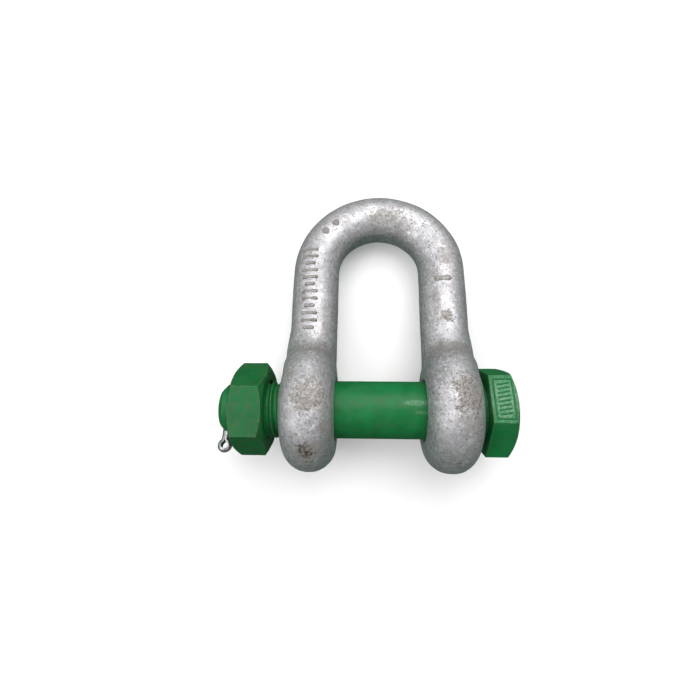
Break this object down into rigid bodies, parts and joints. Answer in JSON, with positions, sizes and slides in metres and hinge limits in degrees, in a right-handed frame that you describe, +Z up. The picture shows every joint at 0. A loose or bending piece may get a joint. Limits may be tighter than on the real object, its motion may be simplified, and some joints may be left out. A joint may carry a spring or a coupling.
{
  "type": "dee shackle",
  "caption": "D-shaped lifting shackle with two eyes, a green hexagon-head bolt, its nut and a split pin.",
  "frame": {"origin": "on the bolt's axis, midway between the inner faces of the two eyes", "axes": "+X along the bolt towards its head, +Y from the bolt towards the crown, +Z up from the floor that the shackle lies on"},
  "size_m": [0.1421, 0.1529, 0.0614],
  "materials": {
    "galvanised": "hot-dip galvanised, satin, mottled",
    "green_paint": "satin green paint, worn at the edges",
    "zinc_plate": "bright zinc plate"
  },
  "bodies": {
    "bow": {"bow": "galvanised"},
    "safety_bolt": {"safety_bolt": "green_paint"},
    "hex_nut": {"hex_nut": "green_paint"},
    "split_pin": {"split_pin": "zinc_plate"}
  },
  "joints": [
    {"name": "bolt_turn", "type": "hinge", "parent": "bow", "child": "safety_bolt", "pos_m": [0, 0, 0], "axis": [1, 0, 0], "range_deg": [-720, 60]},
    {"name": "nut_travel", "type": "slide", "parent": "bow", "child": "hex_nut", "axis": [1, 0, 0], "range_m": [-0.00061, 0.00727]},
    {"name": "split_pin_draw", "type": "slide", "parent": "safety_bolt", "child": "split_pin", "axis": [0, -0.9545, 0.2984], "range_m": [0, 0.032]}
  ],
  "couplings": [
    {"joint": "nut_travel", "follows": "bolt_turn", "m_per_rad": -0.00057773}
  ]
}
